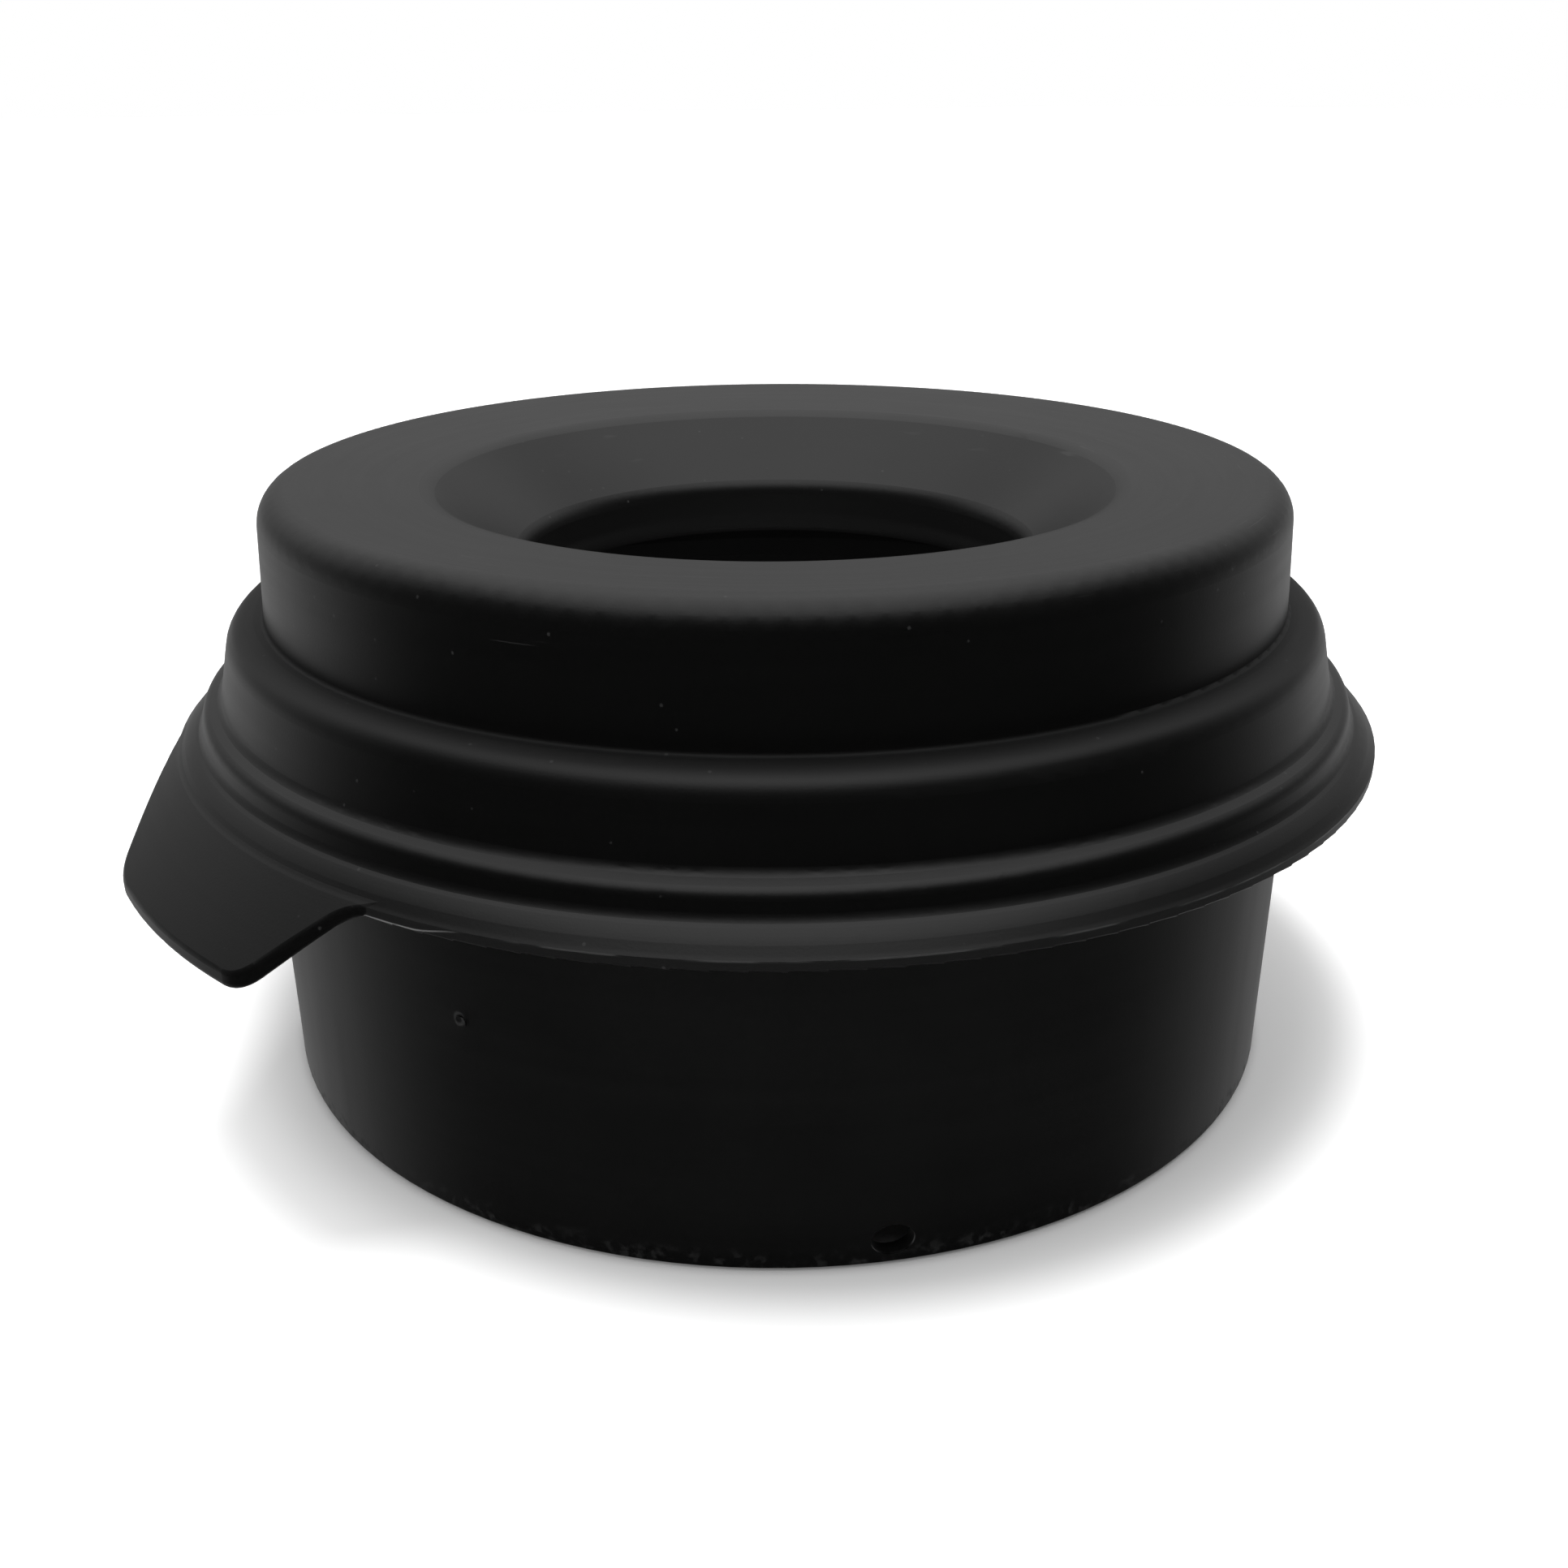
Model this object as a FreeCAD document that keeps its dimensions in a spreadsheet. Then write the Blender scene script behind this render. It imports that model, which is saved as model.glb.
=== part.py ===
import FreeCAD, Part
import math
import os
import Sketcher

# Spill-resistant water bowl: a round base, a pull-off funnel lid, a rim seal and rubber feet.
# Millimetres, +Z up. The origin is on the bowl's axis, in the plane that the feet stand on.
# The lid's pull tab points along -X.

SHEET_SIZES = {
    # outer ring of the base
    "base_radius": 91.5,
    "skirt_draft": 0.8,
    "skirt_height": 58.4,
    "skirt_wall": 2.8,
    "skirt_edge_round": 0.4,
    "foot_stand": 0.5,
    # drain holes low in the outer ring, and the moulding gate mark on its side
    "vent_count": 4,
    "vent_width": 6.8,
    "vent_height": 5.3,
    "vent_centre_height": 4.1,
    "vent_azimuth": -24.4,
    "gate_radius": 1.0,
    "gate_proud": 0.25,
    "gate_height": 36.0,
    "gate_azimuth": -41.2,
    # inner bowl that holds the water
    "floor_thickness": 3.4,
    "floor_lift": 2.2,
    "bowl_foot_inset": 11.3,
    "bowl_wall": 2.6,
    "spigot_length": 7.0,
    "spigot_gap": 0.15,
    "spigot_taper": 9.0,
    "spigot_lead": 1.5,
    "ledge_thickness": 3.4,
    "rim_height": 16.4,
    "rim_wall": 3.0,
    "bead_wall": 2.4,
    "floor_round": 9.0,
    "bowl_heel_round": 3.5,
    "rim_round": 0.8,
    # rubber feet under the bowl
    "foot_count": 4,
    "foot_radius": 7.0,
    "foot_circle_inset": 30.0,
    "foot_recess": 1.2,
    "foot_gap": 0.05,
    "foot_round": 0.5,
    # soft ring on the rim
    "seal_height": 3.7,
    "seal_gap": 0.15,
    "seal_round": 0.8,
    # lid
    "lid_wall": 2.3,
    "lid_gap": 0.3,
    "plug_gap": 0.4,
    "plug_depth": 12.4,
    "ring_offset": 0.3,
    "step_draft": 2.7,
    "bead_rise": 8.4,
    "bead_ledge": 3.1,
    "bead_slope": 1.4,
    "bead_draft": 0.6,
    "flange_reach": 4.4,
    "lip_drop": 0.6,
    "lip_height": 1.8,
    "roll_inset": 2.2,
    "roll_rise": 4.2,
    "crease_rise": 5.6,
    "crease_wall_lean": 0.75,
    "roll_wall_lean": 0.85,
    "ring_draft": 1.0,
    "ring_height": 21.6,
    "crown_dip": 2.6,
    "funnel_inset": 27.8,
    "funnel_run": 15.8,
    "funnel_depth": 12.3,
    "collar_drop": 9.2,
    "collar_draft": 1.0,
    "shoulder_round": 5.6,
    "step_round": 5.0,
    "step_crease_round": 0.6,
    "channel_round": 0.6,
    "bead_round": 2.2,
    "crease_round": 1.6,
    "funnel_round": 5.0,
    "throat_round": 4.0,
    "collar_end_round": 0.9,
    "lip_round": 0.5,
    "roll_round": 9.0,
    # pull tab, which carries the lid's flange outwards and down
    "tab_reach": 12.0,
    "tab_fall": 10.3,
    "tab_root_depth": 2.2,
    "tab_root_rise": 2.1,
    "tab_root_thickness": 2.9,
    "tab_thickness": 4.0,
    "tab_root_inset": 15.2,
    "tab_left_root": 51.0,
    "tab_right_root": 49.5,
    "tab_overrun": 4.0,
    "tab_left_end": 6.3,
    "tab_right_end": 27.0,
    "tab_waist_inset": 17.7,
    "tab_waist_side": 38.0,
    "tab_left_corner_round": 17.0,
    "tab_right_corner_round": 7.0,
    "tab_waist_round": 10.0,
    "tab_edge_round": 1.0,
}


class Size:
    """A length, angle or count: its value, and the sheet expression that gives it."""

    def __init__(self, value, text):
        self.value = value
        self.text = text

    def joined(self, other, sign, value):
        """The size made from this one and another, or a plain number, with a + - * or / sign."""
        other_text = other.text if isinstance(other, Size) else repr(other)
        return Size(value, f"({self.text} {sign} {other_text})")

    def __add__(self, other):
        return self.joined(other, "+", self.value + number(other))

    def __sub__(self, other):
        return self.joined(other, "-", self.value - number(other))

    def __mul__(self, other):
        return self.joined(other, "*", self.value * number(other))

    def __truediv__(self, other):
        return self.joined(other, "/", self.value / number(other))

    def __neg__(self):
        return Size(-self.value, f"(-1 * {self.text})")


zero = Size(0, "0")


def number(size):
    """The plain value of a Size or a number."""
    return size.value if isinstance(size, Size) else size


def fill_sheet(doc):
    """Write the driving dimensions into the document's sheet, one alias each."""
    sheet = doc.addObject("Spreadsheet::Sheet", "Sizes")
    for row, (alias, value) in enumerate(SHEET_SIZES.items(), start=1):
        sheet.set(f"A{row}", alias)
        sheet.set(f"B{row}", str(value))
        sheet.setAlias(f"B{row}", alias)
    doc.recompute()
    return sheet


def named(alias):
    """The Size of one cell of the sheet."""
    return Size(SHEET_SIZES[alias], f"Sizes.{alias}")


doc = FreeCAD.newDocument("water_bowl_with_lid")
fill_sheet(doc)

foot_stand = named("foot_stand")
skirt_top = foot_stand + named("skirt_height")
skirt_foot_radius = named("base_radius")
rim_radius = skirt_foot_radius + named("skirt_draft")
skirt_wall = named("skirt_wall")
spigot_radius = rim_radius - skirt_wall - named("spigot_gap")
bowl_wall = named("bowl_wall")
ledge_top = skirt_top + named("ledge_thickness")
rim_top = skirt_top + named("rim_height")
rim_inner_radius = rim_radius - named("rim_wall")
bowl_underside = foot_stand + named("floor_lift")
floor_top = bowl_underside + named("floor_thickness")
foot_circle = skirt_foot_radius - named("foot_circle_inset")

lid_wall = named("lid_wall")
lid_gap = named("lid_gap")
seal_gap = named("seal_gap")
plug_radius = rim_inner_radius - named("plug_gap")
channel_radius = rim_radius + lid_gap
channel_top = rim_top + named("seal_height") + seal_gap * 2
step_top = channel_top + lid_wall
step_top_radius = channel_radius + lid_wall
step_foot_radius = step_top_radius + named("step_draft")
bead_top = skirt_top + named("bead_rise")
bead_top_radius = step_foot_radius + named("bead_ledge")
bead_foot_radius = bead_top_radius + named("bead_draft")
snap_bead_radius = bead_top_radius - lid_wall - lid_gap
snap_bead_top = bead_top - lid_wall - lid_gap
flange_radius = bead_foot_radius + named("flange_reach")
lip_bottom = skirt_top - named("lip_drop")
lip_top = lip_bottom + named("lip_height")
roll_radius = flange_radius - named("roll_inset")
roll_height = lip_bottom + named("roll_rise")
crease_height = lip_bottom + named("crease_rise")
ring_foot_radius = plug_radius + named("ring_offset")
ring_top_radius = ring_foot_radius - named("ring_draft")
crown = step_top + named("ring_height")
funnel_radius = ring_top_radius - named("funnel_inset")
funnel_top = crown - named("crown_dip")
throat_radius = funnel_radius - named("funnel_run")
throat_height = funnel_top - named("funnel_depth")
collar_radius = throat_radius - named("collar_draft")
collar_bottom = throat_height - named("collar_drop")
plug_bottom = channel_top - named("plug_depth")

tab_radius = flange_radius + named("tab_reach")
tab_root_radius = flange_radius - named("tab_root_depth")
tab_end_top = lip_top - named("tab_fall")


def bind(feature, path, size):
    """Tie one property of a feature to the sheet."""
    feature.setExpression(path, size.text)


def make_body(label):
    """An empty body with the node's own label."""
    body = doc.addObject("PartDesign::Body", label)
    body.Label = label
    return body


def new_sketch(body, name, plane_role):
    """A sketch on one of the body's own origin planes."""
    plane = next(item for item in body.Origin.OriginFeatures if item.Role == plane_role)
    sketch = body.newObject("Sketcher::SketchObject", name)
    sketch.AttachmentSupport = [(plane, "")]
    sketch.MapMode = "FlatFace"
    return sketch


def pin_point(sketch, line, end, across, up):
    """Tie one end of a sketch line to its two sizes, measured from the sketch's origin."""
    for kind, axis, size in (("DistanceX", -2, across), ("DistanceY", -1, up)):
        if number(size) == 0:
            sketch.addConstraint(Sketcher.Constraint("PointOnObject", line, end, axis))
        else:
            index = sketch.addConstraint(Sketcher.Constraint(kind, -1, 1, line, end, number(size)))
            bind(sketch, f"Constraints[{index}]", size)


def draw_outline(sketch, corners):
    """A closed outline of straight lines through corners, each an (across, up) pair of sizes."""
    points = [FreeCAD.Vector(number(across), number(up), 0) for across, up in corners]
    following = points[1:] + points[:1]
    for start, finish in zip(points, following):
        sketch.addGeometry(Part.LineSegment(start, finish))
    last = len(points) - 1
    for line in range(last):
        sketch.addConstraint(Sketcher.Constraint("Coincident", line, 2, line + 1, 1))
    sketch.addConstraint(Sketcher.Constraint("Coincident", last, 2, 0, 1))
    for line, (across, up) in enumerate(corners):
        pin_point(sketch, line, 1, across, up)


def revolve_outline(body, corners):
    """Turn an outline of (radius, height) corners once round the Z axis."""
    sketch = new_sketch(body, f"{body.Label}_section", "XZ_Plane")
    draw_outline(sketch, corners)
    turned = body.newObject("PartDesign::Revolution", f"{body.Label}_turned")
    turned.Profile = sketch
    turned.ReferenceAxis = (sketch, ["V_Axis"])
    turned.Angle = 360
    doc.recompute()
    return turned


def rings_at(shape, corners):
    """The names of the shape's circular edges round Z that pass through (radius, height) corners."""
    names = []
    for index, edge in enumerate(shape.Edges, start=1):
        if not isinstance(edge.Curve, Part.Circle):
            continue
        for radius, height in corners:
            same_radius = abs(edge.Curve.Radius - number(radius)) < 0.01
            if same_radius and abs(edge.Curve.Center.z - number(height)) < 0.01:
                names.append(f"Edge{index}")
    return names


def round_rings(body, base, corners, radius):
    """Round the circular edges of the base feature at the given corners."""
    return round_edges(body, base, rings_at(base.Shape, corners), radius)


def make_skirt():
    """Outer ring of the base: a slightly flared wall with oval drain holes at its foot."""
    body = make_body("base_skirt")
    corners = [
        (skirt_foot_radius, foot_stand),
        (rim_radius, skirt_top),
        (rim_radius - skirt_wall, skirt_top),
        (skirt_foot_radius - skirt_wall, foot_stand),
    ]
    ring = revolve_outline(body, corners)
    round_rings(body, ring, [corners[0]], named("skirt_edge_round"))
    cut_vents(body)
    add_gate_mark(body)
    turn_about_axis(body, named("vent_azimuth"))
    return body


def cut_vents(body):
    """One oval hole through the wall, then its copies round the axis."""
    sketch = new_sketch(body, "vent_oval", "XZ_Plane")
    centre_height = foot_stand + named("vent_centre_height")
    centre = FreeCAD.Vector(0, number(centre_height), 0)
    half_width = named("vent_width") / 2
    half_height = named("vent_height") / 2
    oval = Part.Ellipse(centre, number(half_width), number(half_height))
    sketch.addGeometry(oval)
    sketch.exposeInternalGeometry(0)
    sketch.addConstraint(Sketcher.Constraint("PointOnObject", 0, 3, -2))
    height_index = sketch.addConstraint(Sketcher.Constraint("DistanceY", -1, 1, 0, 3, centre.y))
    bind(sketch, f"Constraints[{height_index}]", centre_height)
    sketch.addConstraint(Sketcher.Constraint("Horizontal", 1))
    width_index = sketch.addConstraint(Sketcher.Constraint("Distance", 1, number(half_width * 2)))
    bind(sketch, f"Constraints[{width_index}]", half_width * 2)
    tall_index = sketch.addConstraint(Sketcher.Constraint("Distance", 2, number(half_height * 2)))
    bind(sketch, f"Constraints[{tall_index}]", half_height * 2)
    vent = body.newObject("PartDesign::Pocket", "vent")
    vent.Profile = sketch
    vent.Reversed = True
    bind(vent, "Length", rim_radius + skirt_wall)
    repeat_round_axis(body, vent, named("vent_count"))


def add_gate_mark(body):
    """Small round mark that the mould's gate leaves on the side of the ring."""
    sketch = new_sketch(body, "gate_circle", "XZ_Plane")
    height = named("gate_height")
    radius = named("gate_radius")
    wall_lean = named("skirt_draft") * height / named("skirt_height")
    turn = FreeCAD.Rotation(FreeCAD.Vector(0, 1, 0), number(named("gate_azimuth")))
    start = turn.multVec(FreeCAD.Vector(0, 0, number(skirt_foot_radius)))
    sketch.AttachmentOffset = FreeCAD.Placement(start, turn)
    centre = FreeCAD.Vector(0, number(height), 0)
    sketch.addGeometry(Part.Circle(centre, FreeCAD.Vector(0, 0, 1), number(radius)))
    sketch.addConstraint(Sketcher.Constraint("PointOnObject", 0, 3, -2))
    height_index = sketch.addConstraint(Sketcher.Constraint("DistanceY", -1, 1, 0, 3, centre.y))
    bind(sketch, f"Constraints[{height_index}]", height)
    radius_index = sketch.addConstraint(Sketcher.Constraint("Radius", 0, number(radius)))
    bind(sketch, f"Constraints[{radius_index}]", radius)
    mark = body.newObject("PartDesign::Pad", "gate_mark")
    mark.Profile = sketch
    bind(mark, "Length", wall_lean + named("gate_proud"))
    body.Tip = mark
    doc.recompute()


def turn_about_axis(body, angle):
    """Turn a finished piece about the Z axis."""
    body.Placement = FreeCAD.Placement(
        FreeCAD.Vector(), FreeCAD.Rotation(FreeCAD.Vector(0, 0, 1), number(angle)))
    bind(body, ".Placement.Rotation.Angle", angle)


def make_bowl():
    """Inner bowl: raised floor, ledge on top of the ring, upright rim and the lid's snap bead."""
    body = make_body("water_bowl")
    heel_radius = skirt_foot_radius - named("bowl_foot_inset")
    spigot_bottom = skirt_top - named("spigot_length")
    taper_bottom = spigot_bottom - named("spigot_taper")
    waist_radius = spigot_radius - named("spigot_lead")
    heel = (heel_radius, bowl_underside)
    floor_corner = (heel_radius - bowl_wall, floor_top)
    corners = [
        (zero, bowl_underside),
        heel,
        (waist_radius, taper_bottom),
        (spigot_radius, spigot_bottom),
        (spigot_radius, skirt_top),
        (snap_bead_radius, skirt_top),
        (snap_bead_radius, snap_bead_top),
        (snap_bead_radius - named("bead_wall"), snap_bead_top),
        (snap_bead_radius - named("bead_wall"), ledge_top),
        (rim_radius, ledge_top),
        (rim_radius, rim_top),
        (rim_inner_radius, rim_top),
        (rim_inner_radius, ledge_top),
        (spigot_radius - bowl_wall, spigot_bottom),
        floor_corner,
        (zero, floor_top),
    ]
    turned = revolve_outline(body, corners)
    turned = round_rings(body, turned, [heel], named("bowl_heel_round"))
    turned = round_rings(body, turned, [floor_corner], named("floor_round"))
    top_corners = [(rim_radius, rim_top), (rim_inner_radius, rim_top)]
    turned = round_rings(body, turned, top_corners, named("rim_round"))
    bead_corners = [(snap_bead_radius, skirt_top), (snap_bead_radius, snap_bead_top)]
    round_rings(body, turned, bead_corners, named("rim_round"))
    cut_foot_seats(body)
    return body


def cut_foot_seats(body):
    """Shallow round seats in the bowl's underside, one for each rubber foot."""
    sketch = new_sketch(body, "foot_seat_circle", "XY_Plane")
    bind(sketch, ".AttachmentOffset.Base.z", bowl_underside)
    seat_radius = named("foot_radius") + named("foot_gap")
    add_circle(sketch, foot_circle, seat_radius)
    seat = body.newObject("PartDesign::Pocket", "foot_seat")
    seat.Profile = sketch
    seat.Reversed = True
    bind(seat, "Length", named("foot_recess"))
    repeat_round_axis(body, seat, named("foot_count"))


def add_circle(sketch, across, radius):
    """A circle on the sketch's horizontal axis."""
    centre = FreeCAD.Vector(number(across), 0, 0)
    sketch.addGeometry(Part.Circle(centre, FreeCAD.Vector(0, 0, 1), number(radius)))
    sketch.addConstraint(Sketcher.Constraint("PointOnObject", 0, 3, -1))
    across_index = sketch.addConstraint(
        Sketcher.Constraint("DistanceX", -1, 1, 0, 3, number(across)))
    bind(sketch, f"Constraints[{across_index}]", across)
    radius_index = sketch.addConstraint(Sketcher.Constraint("Radius", 0, number(radius)))
    bind(sketch, f"Constraints[{radius_index}]", radius)


def repeat_round_axis(body, feature, count):
    """Copies of a feature, evenly spaced round the body's Z axis."""
    pattern = body.newObject("PartDesign::PolarPattern", f"{feature.Name}_copies")
    pattern.Originals = [feature]
    axis = next(item for item in body.Origin.OriginFeatures if item.Role == "Z_Axis")
    pattern.Axis = (axis, [""])
    pattern.Angle = 360
    bind(pattern, "Occurrences", count)
    body.Tip = pattern
    doc.recompute()


def make_foot(index):
    """One rubber foot, seated in the bowl's underside."""
    body = make_body(f"foot_{index + 1}")
    sketch = new_sketch(body, f"{body.Label}_circle", "XY_Plane")
    add_circle(sketch, foot_circle, named("foot_radius"))
    pad = body.newObject("PartDesign::Pad", f"{body.Label}_pad")
    pad.Profile = sketch
    bind(pad, "Length", bowl_underside + named("foot_recess"))
    doc.recompute()
    lower_edges = [
        f"Edge{number_in_shape}"
        for number_in_shape, edge in enumerate(pad.Shape.Edges, start=1)
        if edge.BoundBox.ZMax < 0.01
    ]
    rounded = body.newObject("PartDesign::Fillet", f"{body.Label}_round")
    rounded.Base = (pad, lower_edges)
    bind(rounded, "Radius", named("foot_round"))
    turn_about_axis(body, Size(360, "360") / named("foot_count") * index)
    return body


def make_seal():
    """Soft ring that lies on the rim, inside the lid's channel."""
    body = make_body("rim_seal")
    bottom = rim_top + seal_gap
    top = bottom + named("seal_height")
    inner = plug_radius + seal_gap
    outer = channel_radius - seal_gap
    corners = [(inner, bottom), (outer, bottom), (outer, top), (inner, top)]
    ring = revolve_outline(body, corners)
    round_rings(body, ring, corners, named("seal_round"))
    return body


def make_lid():
    """Funnel lid: collar, funnel, crown, ring wall, two steps, plug, flange and pull tab."""
    body = make_body("lid")
    lip_inner = flange_radius - lid_wall
    plug_inner = ring_foot_radius - lid_wall
    crease_wall = lid_wall * named("crease_wall_lean")
    roll_wall = lid_wall * named("roll_wall_lean")
    outside = {
        "lip_bottom": (flange_radius, lip_bottom),
        "lip_top": (flange_radius, lip_top),
        "roll": (roll_radius, roll_height),
        "crease": (bead_foot_radius, crease_height),
        "bead": (bead_top_radius, bead_top),
        "bead_crease": (step_foot_radius, bead_top + named("bead_slope")),
        "step": (step_top_radius, step_top),
        "step_crease": (ring_foot_radius, step_top),
        "shoulder": (ring_top_radius, crown),
        "funnel": (funnel_radius, funnel_top),
        "throat": (throat_radius, throat_height),
        "collar_end": (collar_radius, collar_bottom),
    }
    inside = {
        "collar_back": (collar_radius + lid_wall, collar_bottom),
        "throat_back": (throat_radius + lid_wall, throat_height - lid_wall / 2),
        "funnel_back": (funnel_radius + lid_wall / 2, funnel_top - lid_wall),
        "shoulder_back": (ring_top_radius - lid_wall, crown - lid_wall),
        "plug_inner": (plug_inner, plug_bottom),
        "plug_outer": (plug_radius, plug_bottom),
        "channel_inner": (plug_radius, channel_top),
        "channel_outer": (channel_radius, channel_top),
        "step_back": (step_foot_radius - lid_wall, bead_top - lid_wall),
        "bead_back": (bead_top_radius - lid_wall, bead_top - lid_wall),
        "crease_back": (bead_foot_radius - lid_wall, crease_height - crease_wall),
        "roll_back": (roll_radius - roll_wall, roll_height - roll_wall),
        "lip_back": (lip_inner, lip_bottom),
    }
    shell = revolve_outline(body, list(outside.values()) + list(inside.values()))
    rounds = [
        (["shoulder"], "shoulder_round"),
        (["funnel"], "funnel_round"),
        (["throat"], "throat_round"),
        (["step"], "step_round"),
        (["roll"], "roll_round"),
        (["bead"], "bead_round"),
        (["step_crease"], "step_crease_round"),
        (["crease", "bead_crease"], "crease_round"),
        (["collar_end"], "collar_end_round"),
        (["lip_bottom"], "lip_round"),
    ]
    for places, alias in rounds:
        shell = round_rings(body, shell, [outside[place] for place in places], named(alias))
    shell = round_rings(body, shell, [inside["channel_outer"]], named("channel_round"))
    round_rings(body, shell, [inside["shoulder_back"]], named("shoulder_round") - lid_wall)
    tab = make_tab()
    joined = body.newObject("PartDesign::Boolean", "lid_with_tab")
    joined.setObjects([tab])
    joined.Type = "Fuse"
    body.Tip = joined
    doc.recompute()
    return body


def make_tab():
    """Pull tab: a sloping slab on the flange, cut to the tab's outline and rounded."""
    body = make_body("lid_tab")
    root_top = lip_top + named("tab_root_rise")
    section = [
        (tab_root_radius, root_top - named("tab_root_thickness")),
        (tab_root_radius, root_top),
        (tab_radius, tab_end_top),
        (tab_radius, tab_end_top - named("tab_thickness")),
    ]
    revolve_outline(body, section)
    root = -(flange_radius - named("tab_root_inset"))
    end = -(tab_radius + named("tab_overrun"))
    waist = (-(tab_radius - named("tab_waist_inset")), -named("tab_waist_side"))
    outline = [
        (root, named("tab_left_root")),
        (end, named("tab_left_end")),
        (end, -named("tab_right_end")),
        waist,
        (root, -named("tab_right_root")),
    ]
    trimmed = keep_outline(body, outline)
    left_end = upright_edges(trimmed.Shape, 1)
    rounded = round_edges(body, trimmed, left_end, named("tab_left_corner_round"))
    right_end = upright_edges(rounded.Shape, -1)
    rounded = round_edges(body, rounded, right_end, named("tab_right_corner_round"))
    inner_corner = upright_edges_at(rounded.Shape, waist)
    rounded = round_edges(body, rounded, inner_corner, named("tab_waist_round"))
    rim = outer_edges(rounded.Shape)
    round_edges(body, rounded, rim, named("tab_edge_round"))
    return body


def keep_outline(body, outline):
    """Cut away everything outside an outline in plan."""
    sketch = new_sketch(body, f"{body.Label}_outline", "XY_Plane")
    draw_outline(sketch, outline)
    clear_radius = tab_radius * 2
    circle = sketch.addGeometry(
        Part.Circle(FreeCAD.Vector(), FreeCAD.Vector(0, 0, 1), number(clear_radius)))
    sketch.addConstraint(Sketcher.Constraint("Coincident", circle, 3, -1, 1))
    radius_index = sketch.addConstraint(
        Sketcher.Constraint("Radius", circle, number(clear_radius)))
    bind(sketch, f"Constraints[{radius_index}]", clear_radius)
    cut = body.newObject("PartDesign::Pocket", f"{body.Label}_cut")
    cut.Profile = sketch
    cut.Midplane = True
    bind(cut, "Length", crown * 3)
    doc.recompute()
    return cut


def is_upright(edge):
    """Whether an edge is a straight line along Z."""
    return isinstance(edge.Curve, Part.Line) and abs(edge.Curve.Direction.z) > 0.999


def upright_edges(shape, side):
    """The upright edges at the tab's outer end, on the side of the given sign of Y."""
    names = []
    for index, edge in enumerate(shape.Edges, start=1):
        place = edge.Vertexes[0].Point
        at_end = abs(math.hypot(place.x, place.y) - number(tab_radius)) < 0.01
        if is_upright(edge) and at_end and place.y * side > 0:
            names.append(f"Edge{index}")
    return names


def upright_edges_at(shape, corner):
    """The upright edges over one corner of the plan outline."""
    across, along = corner
    names = []
    for index, edge in enumerate(shape.Edges, start=1):
        place = edge.Vertexes[0].Point
        here = math.hypot(place.x - number(across), place.y - number(along)) < 0.01
        if is_upright(edge) and here:
            names.append(f"Edge{index}")
    return names


def outer_edges(shape):
    """The sloping and curved edges of the tab that lie outside the flange."""
    names = []
    for index, edge in enumerate(shape.Edges, start=1):
        middle = edge.valueAt((edge.FirstParameter + edge.LastParameter) / 2)
        outside = math.hypot(middle.x, middle.y) > number(flange_radius)
        if outside and not is_upright(edge):
            names.append(f"Edge{index}")
    return names


def round_edges(body, base, names, radius):
    """Round the named edges of the base feature."""
    rounded = body.newObject("PartDesign::Fillet", f"{base.Name}_round")
    rounded.Base = (base, names)
    bind(rounded, "Radius", radius)
    doc.recompute()
    return rounded


def check_document():
    """Stop if any object failed to recompute."""
    doc.recompute()
    failed = [item.Name for item in doc.Objects if {"Invalid", "Error"} & set(item.State)]
    if failed:
        raise RuntimeError(f"objects that failed: {failed}")


def export_nodes(nodes):
    """Check each piece's shape and write its STEP file."""
    for node in nodes:
        if node.Shape.isNull() or not node.Shape.isValid() or len(node.Shape.Solids) != 1:
            raise RuntimeError(f"{node.Label} is not one valid solid")
    os.makedirs("parts", exist_ok=True)
    for node in nodes:
        node.Shape.exportStep(f"parts/{node.Label}.step")
        print(node.Label, round(node.Shape.Volume), node.Shape.BoundBox)


feet = [make_foot(index) for index in range(int(SHEET_SIZES["foot_count"]))]
nodes = [make_skirt(), make_bowl(), make_seal(), make_lid()] + feet
check_document()
export_nodes(nodes)
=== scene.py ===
"""A black spill-resistant water bowl with a funnel lid, on a pale floor in soft light."""
import bpy
from math import cos, radians, sin
from mathutils import Matrix, Vector


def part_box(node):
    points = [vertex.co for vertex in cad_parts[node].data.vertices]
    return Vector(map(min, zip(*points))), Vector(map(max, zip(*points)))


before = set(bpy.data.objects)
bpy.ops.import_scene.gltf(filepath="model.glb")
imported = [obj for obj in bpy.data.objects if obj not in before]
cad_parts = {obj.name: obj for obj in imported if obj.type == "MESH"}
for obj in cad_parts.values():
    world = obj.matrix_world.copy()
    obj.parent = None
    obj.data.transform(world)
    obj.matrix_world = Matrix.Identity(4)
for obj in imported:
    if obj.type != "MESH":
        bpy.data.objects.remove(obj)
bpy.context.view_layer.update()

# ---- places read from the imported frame, in metres ----

skirt_low, skirt_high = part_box("base_skirt")
bowl_low, bowl_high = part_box("water_bowl")
lid_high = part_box("lid")[1]
FLOOR_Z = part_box("foot_1")[0].z
FLANGE_RADIUS = lid_high.x
LIP_BOTTOM = skirt_high.z - 0.0006
LIP_TOP = LIP_BOTTOM + 0.0018
CROWN_Z = lid_high.z
RING_FOOT_Z = CROWN_Z - 0.0211
SKIRT_RADIUS = skirt_high.x
SKIRT_BOTTOM = skirt_low.z
SKIRT_DRAFT = 0.0008
HOLE_TOP = SKIRT_BOTTOM + 0.008
GATE_AZIMUTH = 24.2
GATE_Z = 0.0365
FLOOR_REACH = 14.0
# Floor emission near and beyond the base; it sets the painted contact shadow.
NEAR_PAINTED_SHADOW_LIFT = 0.26
OUTER_PAINTED_SHADOW_LIFT = 0.36
PLASTIC_IOR = 1.49
GRAIN_DEPTH = 0.00003

# ---- viewpoint and studio, in metres and degrees ----

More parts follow.
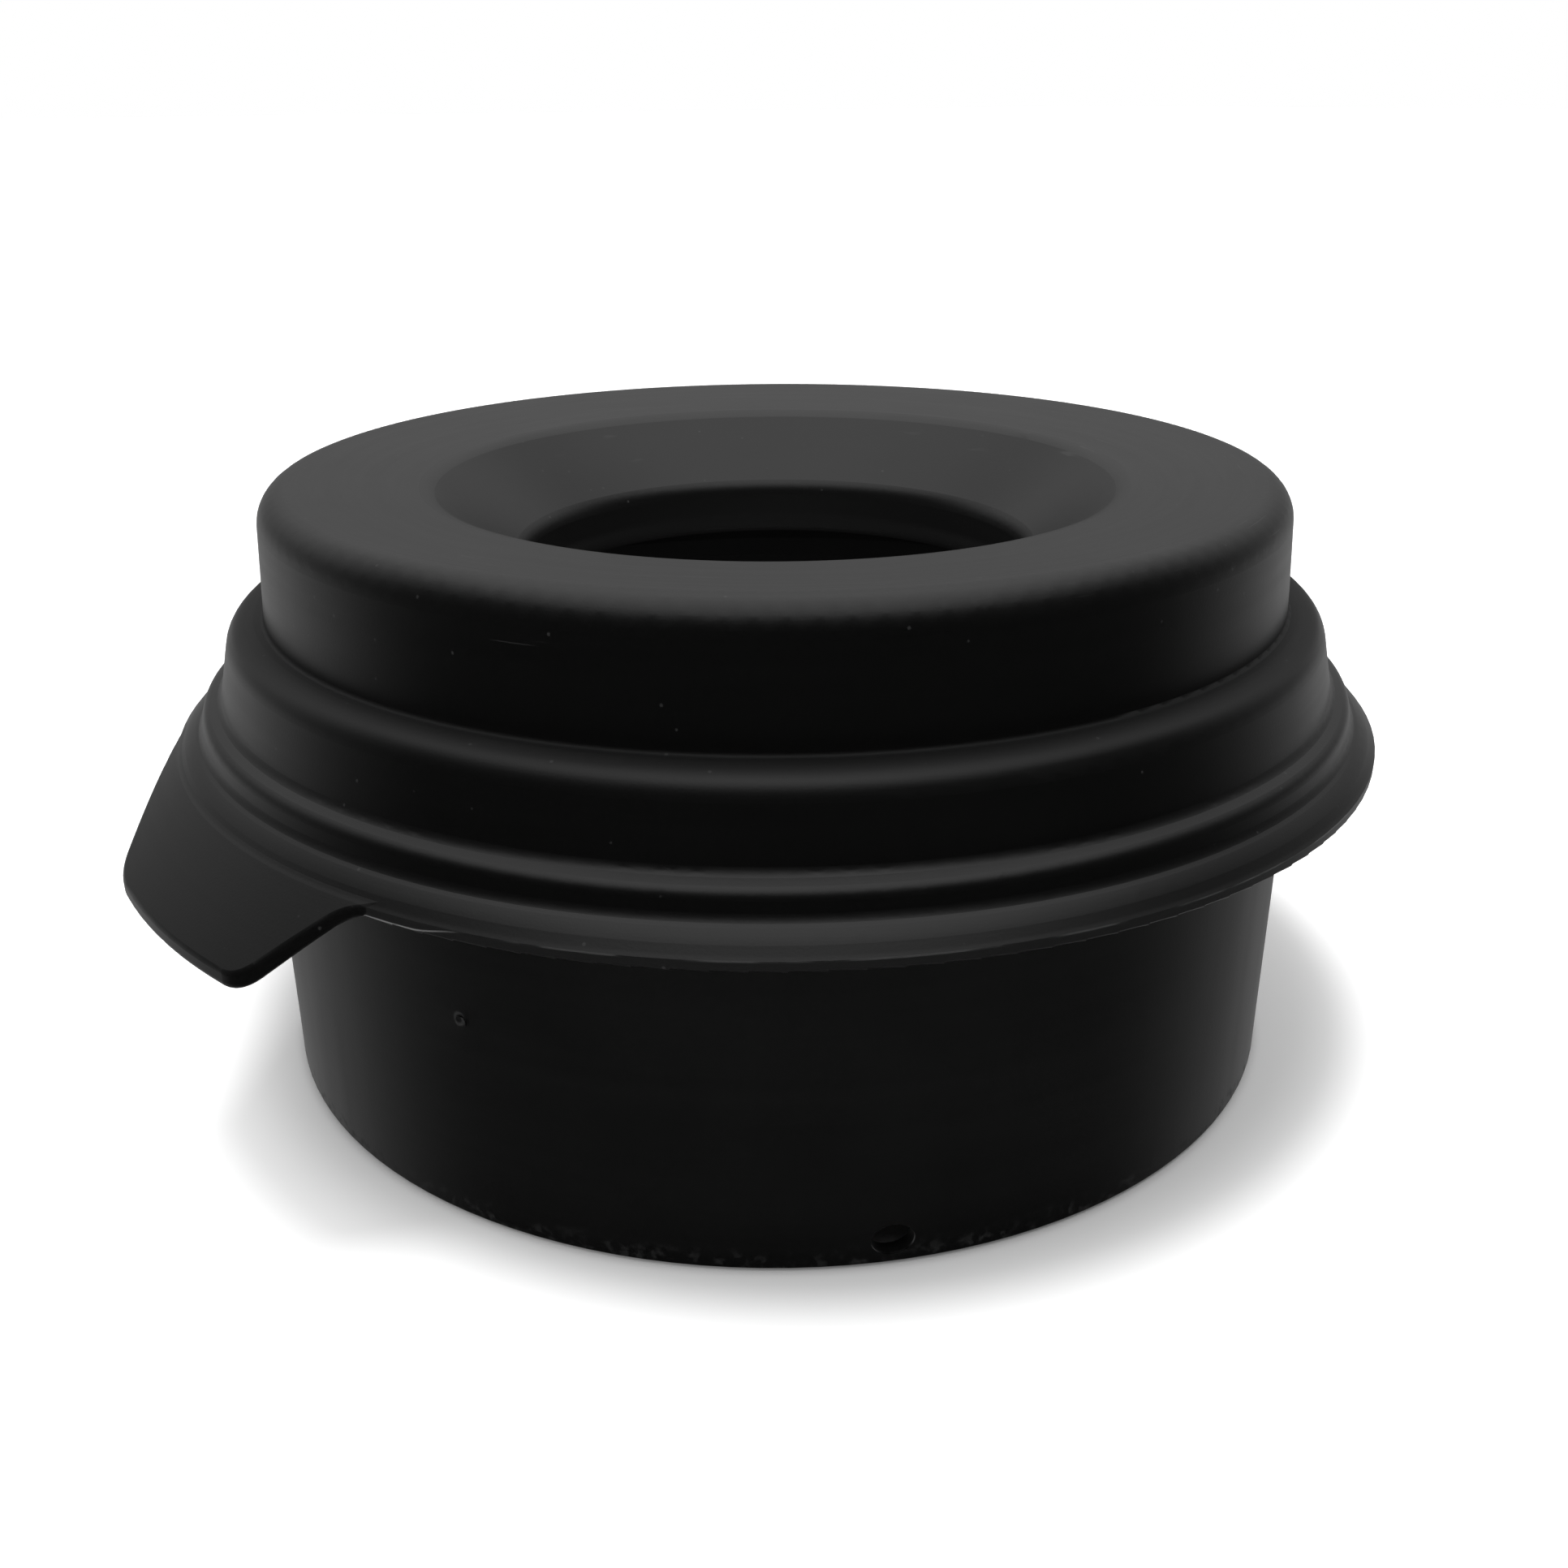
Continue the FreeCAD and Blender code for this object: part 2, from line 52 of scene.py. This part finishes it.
VIEW_AZIMUTH = -35.0
VIEW_DISTANCE = 0.2939
VIEW_HEIGHT = 0.1625
VIEW_PITCH = 22.48
VIEW_YAW = -0.248
VIEW_ROLL = -0.25
LENS = 38.37
SENSOR = 36.0

AWAY = Vector((-sin(radians(VIEW_AZIMUTH)), cos(radians(VIEW_AZIMUTH)), 0))
RIGHT = Vector((cos(radians(VIEW_AZIMUTH)), sin(radians(VIEW_AZIMUTH)), 0))


class Wire:
    """A shader socket that sums can be written with."""

    def __init__(self, recipe, socket):
        self.recipe = recipe
        self.socket = socket

    def math(self, operation, first, second=0.0):
        """A Math node of two values or wires."""
        return self.recipe.node("ShaderNodeMath", {"operation": operation}, {0: first, 1: second})

    def __add__(self, other):
        return self.math("ADD", self, other)

    def __radd__(self, other):
        return self.math("ADD", other, self)

    def __sub__(self, other):
        return self.math("SUBTRACT", self, other)

    def __rsub__(self, other):
        return self.math("SUBTRACT", other, self)

    def __mul__(self, other):
        return self.math("MULTIPLY", self, other)

    def __rmul__(self, other):
        return self.math("MULTIPLY", other, self)

    def __truediv__(self, other):
        return self.math("DIVIDE", self, other)

    def __pow__(self, other):
        return self.math("POWER", self, other)

    def __abs__(self):
        return self.math("ABSOLUTE", self)


class Recipe:
    """A node tree with short ways to add nodes to it."""

    def __init__(self, tree):
        self.tree = tree
        tree.nodes.clear()

    def node(self, kind, settings=None, sockets=None, out=0):
        """Add a node: its settings first, then values or wires for its sockets."""
        made = self.tree.nodes.new(kind)
        for name, value in (settings or {}).items():
            setattr(made, name, value)
        for key, value in (sockets or {}).items():
            if isinstance(value, Wire):
                self.tree.links.new(value.socket, made.inputs[key])
            else:
                made.inputs[key].default_value = value
        return Wire(self, made.outputs[out]) if made.outputs else made

    def place(self):
        """The shaded point in the bowl's own frame, then its x, y, z and distance from the axis."""
        point = self.node("ShaderNodeTexCoord", out="Object")
        parts = self.tree.nodes.new("ShaderNodeSeparateXYZ")
        self.tree.links.new(point.socket, parts.inputs[0])
        x, y, z = (Wire(self, output) for output in parts.outputs)
        radius = (x * x + y * y) ** 0.5
        return point, x, y, z, radius

    def noise(self, vector, scale, detail=2.0, roughness=0.5):
        """Noise from 0 to 1 at a scale in waves per unit."""
        return self.node(
            "ShaderNodeTexNoise", {"noise_dimensions": "3D"},
            {"Vector": vector, "Scale": scale, "Detail": detail, "Roughness": roughness})

    def vector(self, x, y, z):
        """A vector of three values or wires."""
        return self.node("ShaderNodeCombineXYZ", None, {0: x, 1: y, 2: z})

    def step(self, value, low, high, dark=0.0, bright=1.0):
        """A smooth change from dark to bright while the value goes from low to high."""
        return self.node(
            "ShaderNodeMapRange", {"interpolation_type": "SMOOTHSTEP"},
            {"Value": value, "From Min": low, "From Max": high, "To Min": dark, "To Max": bright})

    def band(self, value, middle, half_width):
        """A soft-edged band that is 1 where the value is near the middle."""
        return self.step(abs(value - middle), 0.0, half_width, 1.0, 0.0)

    def blend(self, factor, first, second):
        """A colour between two colours."""
        mixed = self.tree.nodes.new("ShaderNodeMix")
        mixed.data_type = "RGBA"
        colour_inputs = [item for item in mixed.inputs if item.type == "RGBA"]
        for socket, value in zip([mixed.inputs[0]] + colour_inputs, (factor, first, second)):
            if isinstance(value, Wire):
                self.tree.links.new(value.socket, socket)
            else:
                socket.default_value = value
        colour_output = next(item for item in mixed.outputs if item.type == "RGBA")
        return Wire(self, colour_output)

    def bump(self, height, depth, strength=1.0):
        """A surface normal pressed in and out by a height of 0 to 1, over a depth in metres."""
        return self.node(
            "ShaderNodeBump", None, {"Height": height, "Distance": depth, "Strength": strength})


def grey(level):
    """An opaque grey of one level."""
    return (level, level, level, 1.0)


def round_the_axis(recipe, x, y, z, radius, turns, ridges):
    """A vector for marks that run round the bowl: few changes round it, many across the profile."""
    safe_radius = radius + 0.0005
    return recipe.vector(x / safe_radius * turns, y / safe_radius * turns, (radius - z) * ridges)


def finish_material(material, recipe, colour, roughness, normal, specular):
    """Join a material's wires to a Principled shader and the output."""
    shader = recipe.node(
        "ShaderNodeBsdfPrincipled", None,
        {"Base Color": colour, "Roughness": roughness, "Normal": normal,
         "Specular IOR Level": specular, "IOR": PLASTIC_IOR})
    recipe.node("ShaderNodeOutputMaterial", None, {"Surface": shader})
    return material


def new_material(name):
    """An empty node material and its recipe."""
    material = bpy.data.materials.new(name)
    material.use_nodes = True
    return material, Recipe(material.node_tree)


def lid_plastic():
    """Satin black plastic: flow marks round the lid, hairline scuffs, dust, a thin lip flash with a
    painted highlight along it, and a lip band painted lighter as a painted reflection.
    """
    material, recipe = new_material("lid_satin_black")
    point, x, y, z, radius = recipe.place()
    grain = recipe.noise(point, 2600.0, 2.0)
    cloud = recipe.noise(point, 38.0, 3.0)
    flow = recipe.noise(round_the_axis(recipe, x, y, z, radius, 1.6, 420.0), 1.0, 3.0, 0.6)
    hairline = recipe.noise(round_the_axis(recipe, x, y, z, radius, 5.0, 2600.0), 1.0, 1.0)
    patches = recipe.step(recipe.noise(point, 55.0, 2.0), 0.55, 0.68)
    scuffs = recipe.step(hairline, 0.66, 0.74) * patches
    specks = recipe.node(
        "ShaderNodeTexVoronoi", {"feature": "F1"}, {"Vector": point, "Scale": 210.0})
    dust = recipe.step(specks, 0.03, 0.07, 1.0, 0.0)
    near_tab = recipe.step(y, -0.056, -0.048) * recipe.step(x, -0.07, -0.085)
    seam_height = LIP_TOP - 0.0001 - near_tab * 0.0012
    on_lip = recipe.step(radius, FLANGE_RADIUS - 0.0006, FLANGE_RADIUS - 0.0002) * recipe.step(
        radius, FLANGE_RADIUS + 0.00002, FLANGE_RADIUS + 0.00005, 1.0, 0.0)
    seam = recipe.band(z, seam_height, 0.0002) * on_lip
    ragged = recipe.step(recipe.noise(point, 90.0, 3.0), 0.42, 0.6)
    # The seam line is a painted highlight, broken by noise and brightest near the tab. The same
    # mask also raises the real flash ridge in the bump.
    seam_flash_and_glint = seam * (ragged * 0.22 + near_tab * 0.7)
    tone = 0.82 + cloud * 0.2 + flow * 0.16
    base = recipe.blend(tone - 0.5, grey(0.0012), grey(0.0048))
    on_crown = recipe.step(z, CROWN_Z - 0.012, CROWN_Z - 0.006)
    scuffs = scuffs * on_crown
    # The lip band is painted lighter than the rest of the lid: a painted reflection of the floor on
    # the vertical lip.
    base = recipe.blend(on_lip * 0.42, base, grey(0.02))
    # Scuffs and dust are real marks. The seam's light grey here is a painted highlight.
    marked = recipe.blend(scuffs * 0.08 + dust * 0.1 + seam_flash_and_glint, base, grey(0.2))
    in_crease = recipe.band(z, RING_FOOT_Z, 0.0018)
    roughness = 0.31 + cloud * 0.06 + flow * 0.07 - scuffs * 0.04 + in_crease * 0.3
    height = grain * 0.5 + flow * 0.6 + scuffs * 0.15 + seam_flash_and_glint * 1.2
    normal = recipe.bump(height, GRAIN_DEPTH, 0.7)
    return finish_material(material, recipe, marked, roughness, normal, 0.5)


def base_plastic():
    """The base's black plastic: draw marks, a foot scuff, a gate ring lightened with a painted
    highlight, and drain holes darkened with painted shade.
    """
    material, recipe = new_material("base_satin_black")
    point, x, y, z, radius = recipe.place()
    grain = recipe.noise(point, 2300.0, 2.0)
    cloud = recipe.noise(point, 30.0, 3.0)
    upright = recipe.noise(recipe.vector(x * 260.0, y * 260.0, z * 9.0), 1.0, 2.0)
    level = recipe.noise(recipe.vector(x * 7.0, y * 7.0, z * 520.0), 1.0, 2.0)
    foot = recipe.step(z, SKIRT_BOTTOM, SKIRT_BOTTOM + 0.0045, 1.0, 0.0)
    foot_scuff = foot * recipe.step(recipe.noise(point, 600.0, 3.0), 0.5, 0.7)
    gate_turn = radians(GATE_AZIMUTH)
    from_gate = recipe.node(
        "ShaderNodeVectorMath", {"operation": "DISTANCE"},
        {0: point, 1: Vector((-SKIRT_RADIUS * cos(gate_turn), -SKIRT_RADIUS * sin(gate_turn),
                              GATE_Z))}, out="Value")
    # The gate mark is real, but its lighter ring is a painted highlight on its rim.
    gate_ring = recipe.band(from_gate, 0.0009, 0.0005)
    tone = cloud * 0.5 + level * 0.3
    base = recipe.blend(tone, grey(0.003), grey(0.0105))
    marked = recipe.blend(foot_scuff * 0.3 + gate_ring * 0.35, base, grey(0.08))
    slope = SKIRT_DRAFT / (skirt_high.z - SKIRT_BOTTOM)
    depth = (z - SKIRT_BOTTOM) * slope + (SKIRT_RADIUS - SKIRT_DRAFT) - radius
    in_wall = recipe.step(depth, 0.0003, 0.0006) * recipe.step(depth, 0.0055, 0.006, 1.0, 0.0)
    in_hole = in_wall * recipe.step(z, 0.001, 0.0016) * recipe.step(
        z, HOLE_TOP, HOLE_TOP + 0.001, 1.0, 0.0)
    # Painted shade: the inside of the drain holes is painted near-black.
    marked = recipe.blend(in_hole, marked, grey(0.0015))
    roughness = 0.36 + cloud * 0.08 + upright * 0.05 + foot_scuff * 0.2 + in_hole * 0.5
    height = grain * 0.5 + upright * 0.3 + level * 0.3
    normal = recipe.bump(height, GRAIN_DEPTH, 0.7)
    return finish_material(material, recipe, marked, roughness, normal, 0.5)


def soft_rubber(name, level, grain_scale):
    """Matt rubber or silicone with a fine powdery grain."""
    material, recipe = new_material(name)
    point = recipe.place()[0]
    grain = recipe.noise(point, grain_scale, 4.0)
    cloud = recipe.noise(point, 120.0, 3.0)
    bloom = recipe.step(cloud, 0.45, 0.75)
    colour = recipe.blend(bloom * 0.6, grey(level), grey(level * 2.2))
    roughness = 0.72 + grain * 0.12 + bloom * 0.08
    normal = recipe.bump(grain, GRAIN_DEPTH * 2, 0.8)
    return finish_material(material, recipe, colour, roughness, normal, 0.35)


def floor_material():
    """Pale matt studio floor with a painted contact shadow: an emission glow lifts it towards white
    outwards from the base.
    """
    material, recipe = new_material("pale_floor")
    point, x, y, _, radius = recipe.place()
    cloud = recipe.noise(point, 3.0, 3.0)
    colour = recipe.blend(cloud, grey(0.80), grey(0.84))
    # Painted contact shadow: the floor's emission is low under the base and rises outwards, with
    # the outer rise centred a little right of and behind the base, so the shadow's shape is painted
    # rather than cast.
    shift = RIGHT * 0.005 + AWAY * 0.010
    shifted_x, shifted_y = x - shift.x, y - shift.y
    shifted = (shifted_x * shifted_x + shifted_y * shifted_y) ** 0.5
    near_painted_shadow_lift = recipe.step(
        radius, SKIRT_RADIUS - 0.003, SKIRT_RADIUS + 0.001, 0.0, NEAR_PAINTED_SHADOW_LIFT)
    painted_shadow_lift = near_painted_shadow_lift + recipe.step(
        shifted, SKIRT_RADIUS + 0.003, SKIRT_RADIUS + 0.028, 0.0, OUTER_PAINTED_SHADOW_LIFT)
    painted_shadow_glow = recipe.blend(painted_shadow_lift, grey(0.0), grey(1.0))
    shader = recipe.node(
        "ShaderNodeBsdfPrincipled", None,
        {"Base Color": colour, "Roughness": 0.9, "Specular IOR Level": 0.1,
         "Emission Color": painted_shadow_glow, "Emission Strength": 1.0})
    recipe.node("ShaderNodeOutputMaterial", None, {"Surface": shader})
    return material


def dress(material, *nodes):
    """Give CAD nodes a material in every slot."""
    for name in nodes:
        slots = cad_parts[name].data.materials
        slots.clear()
        slots.append(material)


def make_floor():
    """A wide floor under the feet that reflections don't see."""
    mesh = bpy.data.meshes.new("floor")
    reach = FLOOR_REACH
    corners = [(-reach, -reach, FLOOR_Z), (reach, -reach, FLOOR_Z),
               (reach, reach, FLOOR_Z), (-reach, reach, FLOOR_Z)]
    mesh.from_pydata(corners, [], [(0, 1, 2, 3)])
    floor = bpy.data.objects.new("floor", mesh)
    bpy.context.scene.collection.objects.link(floor)
    mesh.materials.append(floor_material())
    floor.visible_glossy = False


def make_world():
    """Soft surroundings: bright behind and above, dim in front, plain white to the camera."""
    world = bpy.data.worlds.new("studio")
    world.use_nodes = True
    bpy.context.scene.world = world
    recipe = Recipe(world.node_tree)
    direction = recipe.node("ShaderNodeTexCoord", out="Generated")
    behind = recipe.node("ShaderNodeVectorMath", {"operation": "DOT_PRODUCT"},
                         {0: direction, 1: AWAY * 0.96 - RIGHT * 0.06}, out="Value")
    sideways = recipe.node("ShaderNodeVectorMath", {"operation": "DOT_PRODUCT"},
                           {0: direction, 1: RIGHT}, out="Value")
    behind = behind + abs(sideways) * 0.16
    above = recipe.node("ShaderNodeVectorMath", {"operation": "DOT_PRODUCT"},
                        {0: direction, 1: Vector((0, 0, 1))}, out="Value")
    height_gain = recipe.step(above, -0.15, 0.1, 1.5, 0.74) + recipe.step(
        above, 0.2, 0.5, 0.0, 1.12)
    back_glow = recipe.step(behind, 0.0, 0.85, 0.006, 0.355) * height_gain
    top_glow = recipe.step(above, 0.6, 1.0, 0.0, 1.3)
    seen = recipe.node("ShaderNodeLightPath", out="Is Camera Ray")
    strength = (back_glow + top_glow) * (1 - seen) + seen
    shader = recipe.node("ShaderNodeBackground", None,
                         {"Color": grey(1.0), "Strength": strength})
    recipe.node("ShaderNodeOutputWorld", None, {"Surface": shader})


def add_sun(name, toward, angle, strength):
    """Parallel soft light that shines from a direction; reflections don't see it."""
    light = bpy.data.lights.new(name, "SUN")
    light.angle = radians(angle)
    light.energy = strength
    light.specular_factor = 0.0
    lamp = bpy.data.objects.new(name, light)
    bpy.context.scene.collection.objects.link(lamp)
    lamp.rotation_euler = toward.to_track_quat("Z", "Y").to_euler()
    lamp.visible_glossy = False


def add_fill(name, place, energy, size):
    """A small unseen lamp; reflections don't see it."""
    light = bpy.data.lights.new(name, "POINT")
    light.energy = energy
    light.shadow_soft_size = size
    light.specular_factor = 0.0
    lamp = bpy.data.objects.new(name, light)
    bpy.context.scene.collection.objects.link(lamp)
    lamp.location = place
    lamp.visible_camera = False
    lamp.visible_glossy = False


def make_lights():
    """A broad overhead light that throws the shadow to the right, and a weak lamp in the bowl."""
    add_sun("overhead", Vector((0, 0, 1)) - RIGHT * 0.12 - AWAY * 0.08, 13.0, 1.25)
    in_bowl = Vector((0, 0, (bowl_high.z + bowl_low.z) * 0.5 + 0.03))
    add_fill("bowl_fill", in_bowl, 0.11, 0.02)


def make_camera():
    """Camera in front of the bowl, with the pull tab at its left, looking down."""
    data = bpy.data.cameras.new("camera")
    data.lens = LENS
    data.sensor_width = SENSOR
    camera = bpy.data.objects.new("camera", data)
    bpy.context.scene.collection.objects.link(camera)
    turn = Matrix.Rotation(radians(VIEW_AZIMUTH + VIEW_YAW), 4, "Z")
    tilt = Matrix.Rotation(radians(90.0 - VIEW_PITCH), 4, "X")
    roll = Matrix.Rotation(radians(VIEW_ROLL), 4, "Z")
    place = Matrix.Translation(-AWAY * VIEW_DISTANCE + Vector((0, 0, VIEW_HEIGHT)))
    camera.matrix_world = place @ turn @ tilt @ roll
    bpy.context.scene.camera = camera


bpy.context.scene.view_settings.view_transform = "Standard"
dress(lid_plastic(), "lid")
dress(base_plastic(), "base_skirt", "water_bowl")
dress(soft_rubber("seal_silicone", 0.02, 3000.0), "rim_seal")
dress(soft_rubber("foot_rubber", 0.016, 1800.0), "foot_1", "foot_2", "foot_3", "foot_4")
make_floor()
make_world()
make_lights()
make_camera()
